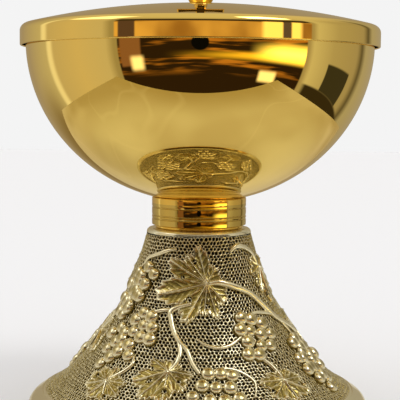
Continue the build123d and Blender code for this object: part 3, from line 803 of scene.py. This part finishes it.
# The grapes: small polished balls of wax pressed on in bunches that hang from the canes, so close that they
# touch. Each stands over half proud of the ground, and a few ride on their neighbours.
GRAPE_RADIUS = 3.15 * MM
GRAPE_FULLNESS = 0.76  # below 1 the ball is fuller at the shoulders and flatter on top
GRAPE_CROWN_REFLECTION = 0.44  # painted reflection: an olive tint on the crown of each grape, standing in for the dark room it mirrors
GRAPE_CROWN = 34  # degrees from the crown over which that painted reflection fades
GRAPE_UNDERSIDE = 118  # degrees from the crown to the grape's lower edge
GRAPE_HEIGHT = 0.92  # share of the radius
GRAPE_SINK = 0.9  # mm that the deepest grape is pressed in
GRAPE_RINGS = 10
GRAPE_SPOKES = 14
BUNCHES = [  # the middles of each bunch's grapes, as (angle, height in mm)
    [(-33, 50), (-40, 51), (-45, 48), (-37, 46.5), (-30, 46), (-43, 43.5), (-36, 42), (-29, 41.5)]
    + [(-49, 40), (-42, 38.5), (-47, 35.5), (-39, 35)],
    [(30, 50), (27, 45.5), (37, 49), (45, 47), (34, 45), (41, 43), (48, 42.5), (30, 41), (38, 39)]
    + [(28, 36.5), (44, 38.5), (34, 36)],
    [(5, 30.5), (11, 30.5), (16, 29.5), (2, 26.5), (8, 26), (14, 25.5), (-2, 23), (5, 22), (11, 21.5)]
    + [(17, 22), (1, 18.5), (8, 18)],
    [(-42, 66.5), (-50, 69), (-48, 62), (-56, 65), (-57, 59), (-51, 57), (-65, 61), (-63, 54.5), (-70, 55)]
    + [(-58, 51.5), (-68, 49.5)],
    [(76, 37), (70, 34.5), (81, 34), (65, 31), (74, 30.5), (84, 29.5), (62, 27), (69, 26.5), (78, 26)]
    + [(65, 23), (73, 22), (69, 19)],
    [(117, 66), (123, 63), (112, 61), (119, 58.5), (126, 57.5), (115, 54), (122, 52.5), (118, 48.5)],
    [(124, 44), (130, 42.5), (119, 41), (127, 38.5), (133, 37.5), (122, 35.5), (129, 33), (125, 30)],
    [(-108, 38), (-115, 37), (-104, 34.5), (-111, 33), (-118, 31.5), (-107, 29), (-114, 27.5), (-110, 23.5)],
]


def all_grapes(turn, seed):
    """Every grape of one side in one mesh. Each is the same cap of rings and spokes, slightly resized."""
    rng = np.random.default_rng(seed)
    places = np.array([grape for bunch in BUNCHES for grape in bunch], float)
    count = len(places)
    angle = np.radians(places[:, 0] + turn)
    arc = arc_at(places[:, 1] * MM)
    size = GRAPE_RADIUS * rng.uniform(0.88, 1.06, count)[:, None, None]
    raise_by = rng.uniform(-GRAPE_SINK, 0.0, count)[:, None, None] * MM
    tilt = np.linspace(0, math.radians(GRAPE_UNDERSIDE), GRAPE_RINGS)[None, :, None]
    across = np.sin(tilt) ** GRAPE_FULLNESS
    upward = GRAPE_HEIGHT * np.sign(np.cos(tilt)) * np.abs(np.cos(tilt)) ** GRAPE_FULLNESS
    spoke = np.linspace(0, 2 * np.pi, GRAPE_SPOKES, endpoint=False)[None, None, :]
    x = size * across * np.cos(spoke)
    y = size * across * np.sin(spoke)
    lift = GROUND_LIFT + raise_by + size * upward + 0 * spoke
    arcs = arc[:, None, None] - y
    radius = np.interp(arc, bell_arcs, bell_radii)[:, None, None]
    points = on_bell(angle[:, None, None] + x / (radius + raise_by), arcs, lift)
    crown = points[:, 0, 0]
    rest = points[:, 1:].reshape(-1, 3)
    per = (GRAPE_RINGS - 1) * GRAPE_SPOKES
    offset = (count + np.arange(count) * per)[:, None, None]
    side = grid_faces(GRAPE_RINGS - 1, GRAPE_SPOKES, wrap_columns=True)[None, :, ::-1] + offset
    fan = np.arange(GRAPE_SPOKES)
    top = np.stack([0 * fan, fan, (fan + 1) % GRAPE_SPOKES], -1)[None] + offset
    top[..., 0] = np.arange(count)[:, None]
    # Painted reflection on the crown, and darkening towards the lower edge where a grape meets the ground.
    crown_reflection = GRAPE_CROWN_REFLECTION * np.exp(-((tilt / math.radians(GRAPE_CROWN)) ** 2))
    shade_and_patina = np.clip((tilt - math.radians(52)) / math.radians(55), 0, 0.8) + crown_reflection + 0 * spoke + 0 * offset
    patina_and_painted_shade = np.concatenate([np.full(count, GRAPE_CROWN_REFLECTION), shade_and_patina[:, 1:].ravel()])
    return np.concatenate([crown, rest]), [top.reshape(-1, 3), side.reshape(-1, 4)], patina_and_painted_shade


for side, turn in SIDES.items():
    points, faces, patina_and_painted_shade = all_grapes(turn, 10 + turn)
    dress(put_mesh(f"grapes_{side}", points, faces, patina_and_painted_shade), cast_gilt, "vessel", "cast_gilt")


# The foot's rim: spun brass, plain and smooth, gilded like the casting that stands in it.
rim_gilt = buffed_metal("rim_gilt", CAST_GILT, 0.10, 0.18, depth=0.00003)
finish_nodes(rim_gilt, "foot_rim")


# The studio: a pale sheet on a table inside a light tent of white cloth. The tent has seams, and its front is
# open to a darker room with warm lamps, which only the polished metal sees.
SHEET_LEFT, SHEET_RIGHT = -0.312, 0.272
SHEET_FRONT, SHEET_BACK = -0.238, 0.235
SHEET_SKEW = 0.25  # the back edge runs off square by this much
SHEET_EDGE = 0.001
PALE = (0.905, 0.905, 0.905, 1.0)
FLOOR_PALE = (0.826, 0.833, 0.872, 1.0)
# Colours of the sheet as metal sees it: painted light in its middle, painted shade at its far edges and along
# its front.
PAPER_SHADE_FAR, PAPER_LIT_NEAR = (0.45, 0.375, 0.23, 1.0), (0.78, 0.755, 0.67, 1.0)
PAPER_CLOUD, PAPER_SHADE_FRONT = (0.60, 0.54, 0.42, 1.0), (0.42, 0.34, 0.18, 1.0)
# Painted highlight along the sheet's folds.
PAPER_FOLD_HIGHLIGHT = (0.96, 0.95, 0.90, 1.0)


def calculate(tree, operation, *values):
    """A Math node on sockets or plain numbers, and its result."""
    node = tree.nodes.new("ShaderNodeMath")
    node.operation = operation
    for slot, value in zip(node.inputs, values):
        if isinstance(value, (int, float)):
            slot.default_value = value
        else:
            tree.links.new(value, slot)
    return node.outputs[0]


def sum_of_squares(tree, a, b):
    """Two values squared and added."""
    return calculate(tree, "ADD", calculate(tree, "POWER", a, 2.0), calculate(tree, "POWER", b, 2.0))


def ease(tree, value, low, high):
    """0 below low, 1 above high and smooth between. It runs the other way if low is above high."""
    node = tree.nodes.new("ShaderNodeMapRange")
    node.interpolation_type = "SMOOTHSTEP"
    tree.links.new(value, node.inputs["Value"])
    for name, number in zip(("From Min", "From Max", "To Min", "To Max"), sorted((low, high)) + [0.0, 1.0]):
        node.inputs[name].default_value = number
    if low > high:
        node.inputs["To Min"].default_value, node.inputs["To Max"].default_value = 1.0, 0.0
    return node.outputs[0]


def between(tree, value, low, high, soft):
    """1 between two numbers and 0 outside, with soft edges."""
    rise = ease(tree, value, low - soft, low + soft)
    drop = ease(tree, value, high + soft, high - soft)
    return calculate(tree, "MULTIPLY", rise, drop)


def blend(tree, mask, below, above):
    """Mixes two colours by a mask. Each may be a socket or plain numbers."""
    node = tree.nodes.new("ShaderNodeMix")
    node.data_type = "RGBA"
    tree.links.new(mask, node.inputs["Factor"])
    for name, value in (("A", below), ("B", above)):
        slot = [s for s in node.inputs if s.name == name and s.type == "RGBA"][0]
        if isinstance(value, tuple):
            slot.default_value = value
        else:
            tree.links.new(value, slot)
    return [s for s in node.outputs if s.type == "RGBA"][0]


def studio_floor():
    """A wide flat floor. Polished metal sees only the sheet of it, and beyond the sheet it sees the tent."""
    points = np.array([[-3, -3, 0], [3, -3, 0], [3, 3, 0], [-3, 3, 0]], float)
    floor = put_mesh("studio_floor", points, [np.array([[0, 1, 2, 3]])], smooth=False)
    material = bpy.data.materials.new("pale_sheet")
    material.use_nodes = True
    tree = material.node_tree
    shader = tree.nodes["Principled BSDF"]
    shader.inputs["Roughness"].default_value = 0.9
    shader.inputs["Specular IOR Level"].default_value = 0.1
    place = tree.nodes.new("ShaderNodeTexCoord")
    split = tree.nodes.new("ShaderNodeSeparateXYZ")
    tree.links.new(place.outputs["Object"], split.inputs[0])
    x, y = split.outputs["X"], split.outputs["Y"]
    path = tree.nodes.new("ShaderNodeLightPath")
    geometry = tree.nodes.new("ShaderNodeNewGeometry")

    cloud = add(tree, "ShaderNodeTexNoise", Scale=5.0, Detail=2.0)
    fold = add(tree, "ShaderNodeTexNoise", Scale=3.2, Detail=1.0, Distortion=0.8)
    tree.links.new(place.outputs["Object"], cloud.inputs["Vector"])
    tree.links.new(place.outputs["Object"], fold.inputs["Vector"])
    away = calculate(tree, "SQRT", sum_of_squares(tree, x, y))
    # Painted pool of light: the sheet is bright in the middle and darker out to its edges, with painted shade
    # along its front.
    painted_sheet = blend(tree, ease(tree, away, 0.30, 0.07), PAPER_SHADE_FAR, PAPER_LIT_NEAR)
    painted_sheet = blend(tree, ease(tree, cloud.outputs["Fac"], 0.42, 0.66), painted_sheet, PAPER_CLOUD)
    painted_sheet = blend(tree, ease(tree, y, -0.13, -0.25), painted_sheet, PAPER_SHADE_FRONT)
    # Painted highlights: thin pale lines along the sheet's folds.
    fold_highlight = between(tree, fold.outputs["Fac"], 0.498, 0.502, 0.010)
    painted_sheet = blend(tree, calculate(tree, "MULTIPLY", fold_highlight, 0.22), painted_sheet, PAPER_FOLD_HIGHLIGHT)
    seen = blend(tree, path.outputs["Is Glossy Ray"], FLOOR_PALE, painted_sheet)
    tree.links.new(seen, shader.inputs["Base Color"])

    in_x = between(tree, x, SHEET_LEFT, SHEET_RIGHT, SHEET_EDGE)
    back = calculate(tree, "SUBTRACT", y, calculate(tree, "MULTIPLY", x, SHEET_SKEW))
    behind_front = ease(tree, y, SHEET_FRONT - SHEET_EDGE, SHEET_FRONT + SHEET_EDGE)
    before_back = ease(tree, back, SHEET_BACK + SHEET_EDGE, SHEET_BACK - SHEET_EDGE)
    in_y = calculate(tree, "MULTIPLY", behind_front, before_back)
    off_sheet = calculate(tree, "SUBTRACT", 1.0, calculate(tree, "MULTIPLY", in_x, in_y))
    unseen = calculate(tree, "MULTIPLY", path.outputs["Is Glossy Ray"], off_sheet)
    clear = calculate(tree, "MAXIMUM", unseen, geometry.outputs["Backfacing"])
    glass = tree.nodes.new("ShaderNodeBsdfTransparent")
    mix = tree.nodes.new("ShaderNodeMixShader")
    tree.links.new(clear, mix.inputs["Fac"])
    tree.links.new(shader.outputs[0], mix.inputs[1])
    tree.links.new(glass.outputs[0], mix.inputs[2])
    tree.links.new(mix.outputs[0], tree.nodes["Material Output"].inputs["Surface"])
    floor.data.materials.append(material)


studio_floor()

TENT_ROUND = [  # colour of the tent's wall at each direction round from the front, in degrees
    (-180, (0.36, 0.28, 0.16)),
    (-150, (0.40, 0.33, 0.22)),
    (-118, (0.60, 0.55, 0.42)),
    (-115, (1.00, 0.95, 0.82)),
    (-112, (0.98, 0.92, 0.78)),
    (-109, (0.62, 0.53, 0.38)),
    (-85, (0.72, 0.60, 0.40)),
    (-62, (0.66, 0.58, 0.44)),
    (-56, (0.40, 0.34, 0.22)),
    (73, (0.45, 0.38, 0.26)),
    (77, (0.70, 0.64, 0.48)),
    (95, (0.50, 0.44, 0.32)),
    (122, (0.42, 0.36, 0.25)),
    (126, (0.26, 0.22, 0.14)),
    (129, (0.12, 0.10, 0.06)),
    (136, (0.46, 0.42, 0.31)),
    (180, (0.36, 0.28, 0.16)),
]
TENT_ROOF = (0.74, 0.66, 0.48, 1.0)
ROOM_THINGS = [  # each is (left, right, low, high, softness) in degrees and a colour
    ((-52.0, -38.0, -19.0, 1.0, 1.0), (0.30, 0.14, 0.07, 1.0)),
    ((-45.0, -37.0, -22.0, -13.0, 2.0), (1.8, 1.5, 1.15, 1.0)),
    ((40.0, 52.0, -29.0, -22.0, 1.5), (1.8, 1.5, 1.1, 1.0)),
]
CEILING_THINGS = [
    ((-51.0, -40.0, 0.0, 12.0, 0.7), (0.12, 0.07, 0.06, 1.0)),
    ((38.0, 64.0, 0.0, 12.0, 2.0), (1.9, 1.35, 0.55, 1.0)),
    ((51.0, 57.0, 0.0, 12.0, 0.8), (0.14, 0.10, 0.10, 1.0)),
]
SOFTBOXES = [
    ((37.0, 71.0, 45.0, 66.0, 2.0), (6.0, 5.9, 5.6, 1.0)),
    ((-105.0, -62.0, 36.0, 62.0, 3.0), (2.0, 1.9, 1.7, 1.0)),
]


def studio_world():
    """The tent as a sky. Cameras see plain pale, matt things white, and metal the walls and the room."""
    world = bpy.data.worlds.new("light_tent")
    bpy.context.scene.world = world
    world.use_nodes = True
    tree = world.node_tree
    place = tree.nodes.new("ShaderNodeTexCoord")
    split = tree.nodes.new("ShaderNodeSeparateXYZ")
    tree.links.new(place.outputs["Generated"], split.inputs[0])
    x, y, z = split.outputs["X"], split.outputs["Y"], split.outputs["Z"]
    around = calculate(tree, "DEGREES", calculate(tree, "ARCTAN2", x, calculate(tree, "MULTIPLY", y, -1.0)))
    upward = calculate(tree, "DEGREES", calculate(tree, "ARCSINE", z))

    walls = tree.nodes.new("ShaderNodeValToRGB")
    tree.links.new(calculate(tree, "ADD", calculate(tree, "DIVIDE", around, 360.0), 0.5), walls.inputs["Fac"])
    stops = walls.color_ramp.elements
    while len(stops) < len(TENT_ROUND):
        stops.new(0.5)
    for stop, (degrees, colour) in zip(stops, TENT_ROUND):
        stop.position = degrees / 360 + 0.5
        stop.color = (*colour, 1.0)
    tent = blend(tree, ease(tree, upward, 24.0, 55.0), walls.outputs["Color"], TENT_ROOF)

    def patch(left, right, low, high, soft):
        """A soft-edged rectangle of the sky, between two directions round and two heights."""
        wide = between(tree, around, left, right, soft)
        return calculate(tree, "MULTIPLY", wide, between(tree, upward, low, high, soft))

    room = (0.030, 0.016, 0.007, 1.0)
    streaks = add(tree, "ShaderNodeTexNoise", Scale=1.0, Detail=2.5, Roughness=0.55)
    stretch = tree.nodes.new("ShaderNodeCombineXYZ")
    tree.links.new(calculate(tree, "DIVIDE", around, 42.0), stretch.inputs["X"])
    tree.links.new(calculate(tree, "DIVIDE", upward, 4.5), stretch.inputs["Y"])
    tree.links.new(stretch.outputs[0], streaks.inputs["Vector"])
    warm = ease(tree, streaks.outputs["Fac"], 0.48, 0.66)
    warm = calculate(tree, "MULTIPLY", warm, between(tree, upward, -24.0, 2.0, 4.0))
    room = blend(tree, warm, room, (0.60, 0.24, 0.035, 1.0))
    lamp = between(tree, upward, -14.5, -11.0, 2.5)
    lamp = calculate(tree, "MULTIPLY", lamp, ease(tree, around, -25.0, 62.0))
    room = blend(tree, lamp, room, (2.2, 1.35, 0.10, 1.0))
    wide, high = ease(tree, around, 30.0, 56.0), between(tree, upward, -13.0, -6.0, 4.5)
    room = blend(tree, calculate(tree, "MULTIPLY", wide, high), room, (4.0, 3.2, 0.9, 1.0))
    for edges, colour in ROOM_THINGS:
        room = blend(tree, patch(*edges), room, colour)
    uneven = ease(tree, streaks.outputs["Fac"], 0.38, 0.62)
    ceiling = blend(tree, uneven, (0.36, 0.17, 0.04, 1.0), (0.92, 0.54, 0.16, 1.0))
    for edges, colour in CEILING_THINGS:
        ceiling = blend(tree, patch(*edges), ceiling, colour)
    room = blend(tree, ease(tree, upward, -1.5, 1.5), room, ceiling)
    room = blend(tree, ease(tree, upward, 6.0, 14.0), room, (0.050, 0.034, 0.018, 1.0))
    off_lens = sum_of_squares(tree, around, calculate(tree, "ADD", upward, 4.0))
    room = blend(tree, ease(tree, off_lens, 36.0, 26.0), room, (0.004, 0.004, 0.004, 1.0))
    wide, high = between(tree, around, -53.5, 71.5, 0.7), ease(tree, upward, 33.0, 28.0)
    seen = blend(tree, calculate(tree, "MULTIPLY", wide, high), tent, room)
    seen = blend(tree, patch(92.0, 117.0, -25.0, -11.0, 0.6), seen, (0.05, 0.045, 0.03, 1.0))
    wide, low = between(tree, around, 76.0, 150.0, 3.0), ease(tree, upward, -24.0, -25.5)
    seen = blend(tree, calculate(tree, "MULTIPLY", wide, low), seen, (0.04, 0.03, 0.015, 1.0))
    wide, low = ease(tree, around, -112.0, -140.0), ease(tree, upward, -8.0, -26.0)
    seen = blend(tree, calculate(tree, "MULTIPLY", wide, low), seen, (0.25, 0.19, 0.10, 1.0))
    for edges, colour in SOFTBOXES:
        seen = blend(tree, patch(*edges), seen, colour)

    path = tree.nodes.new("ShaderNodeLightPath")
    seen = blend(tree, path.outputs["Is Diffuse Ray"], seen, (1.0, 1.0, 1.0, 1.0))
    seen = blend(tree, path.outputs["Is Camera Ray"], seen, PALE)
    tree.links.new(seen, tree.nodes["Background"].inputs["Color"])


studio_world()
bpy.context.scene.view_settings.view_transform = "Standard"


# The camera: a long lens half a metre in front, level with the middle of the bowl and turned slightly down.
EYE_DISTANCE = 0.507
EYE_HEIGHT = 0.138
EYE_SIDE = 0.0004
LOOK_DOWN = 4.683
LEAN = 0.45  # the camera is held very slightly off level
lens = bpy.data.cameras.new("front_camera")
lens.lens = 104.7
lens.sensor_width = 36.0
camera = bpy.data.objects.new("front_camera", lens)
camera.location = (EYE_SIDE, -EYE_DISTANCE, EYE_HEIGHT)
camera.rotation_mode = "QUATERNION"
level = Quaternion((1, 0, 0), math.radians(90 - LOOK_DOWN))
camera.rotation_quaternion = level @ Quaternion((0, 0, 1), math.radians(LEAN))
bpy.context.scene.collection.objects.link(camera)
bpy.context.scene.camera = camera
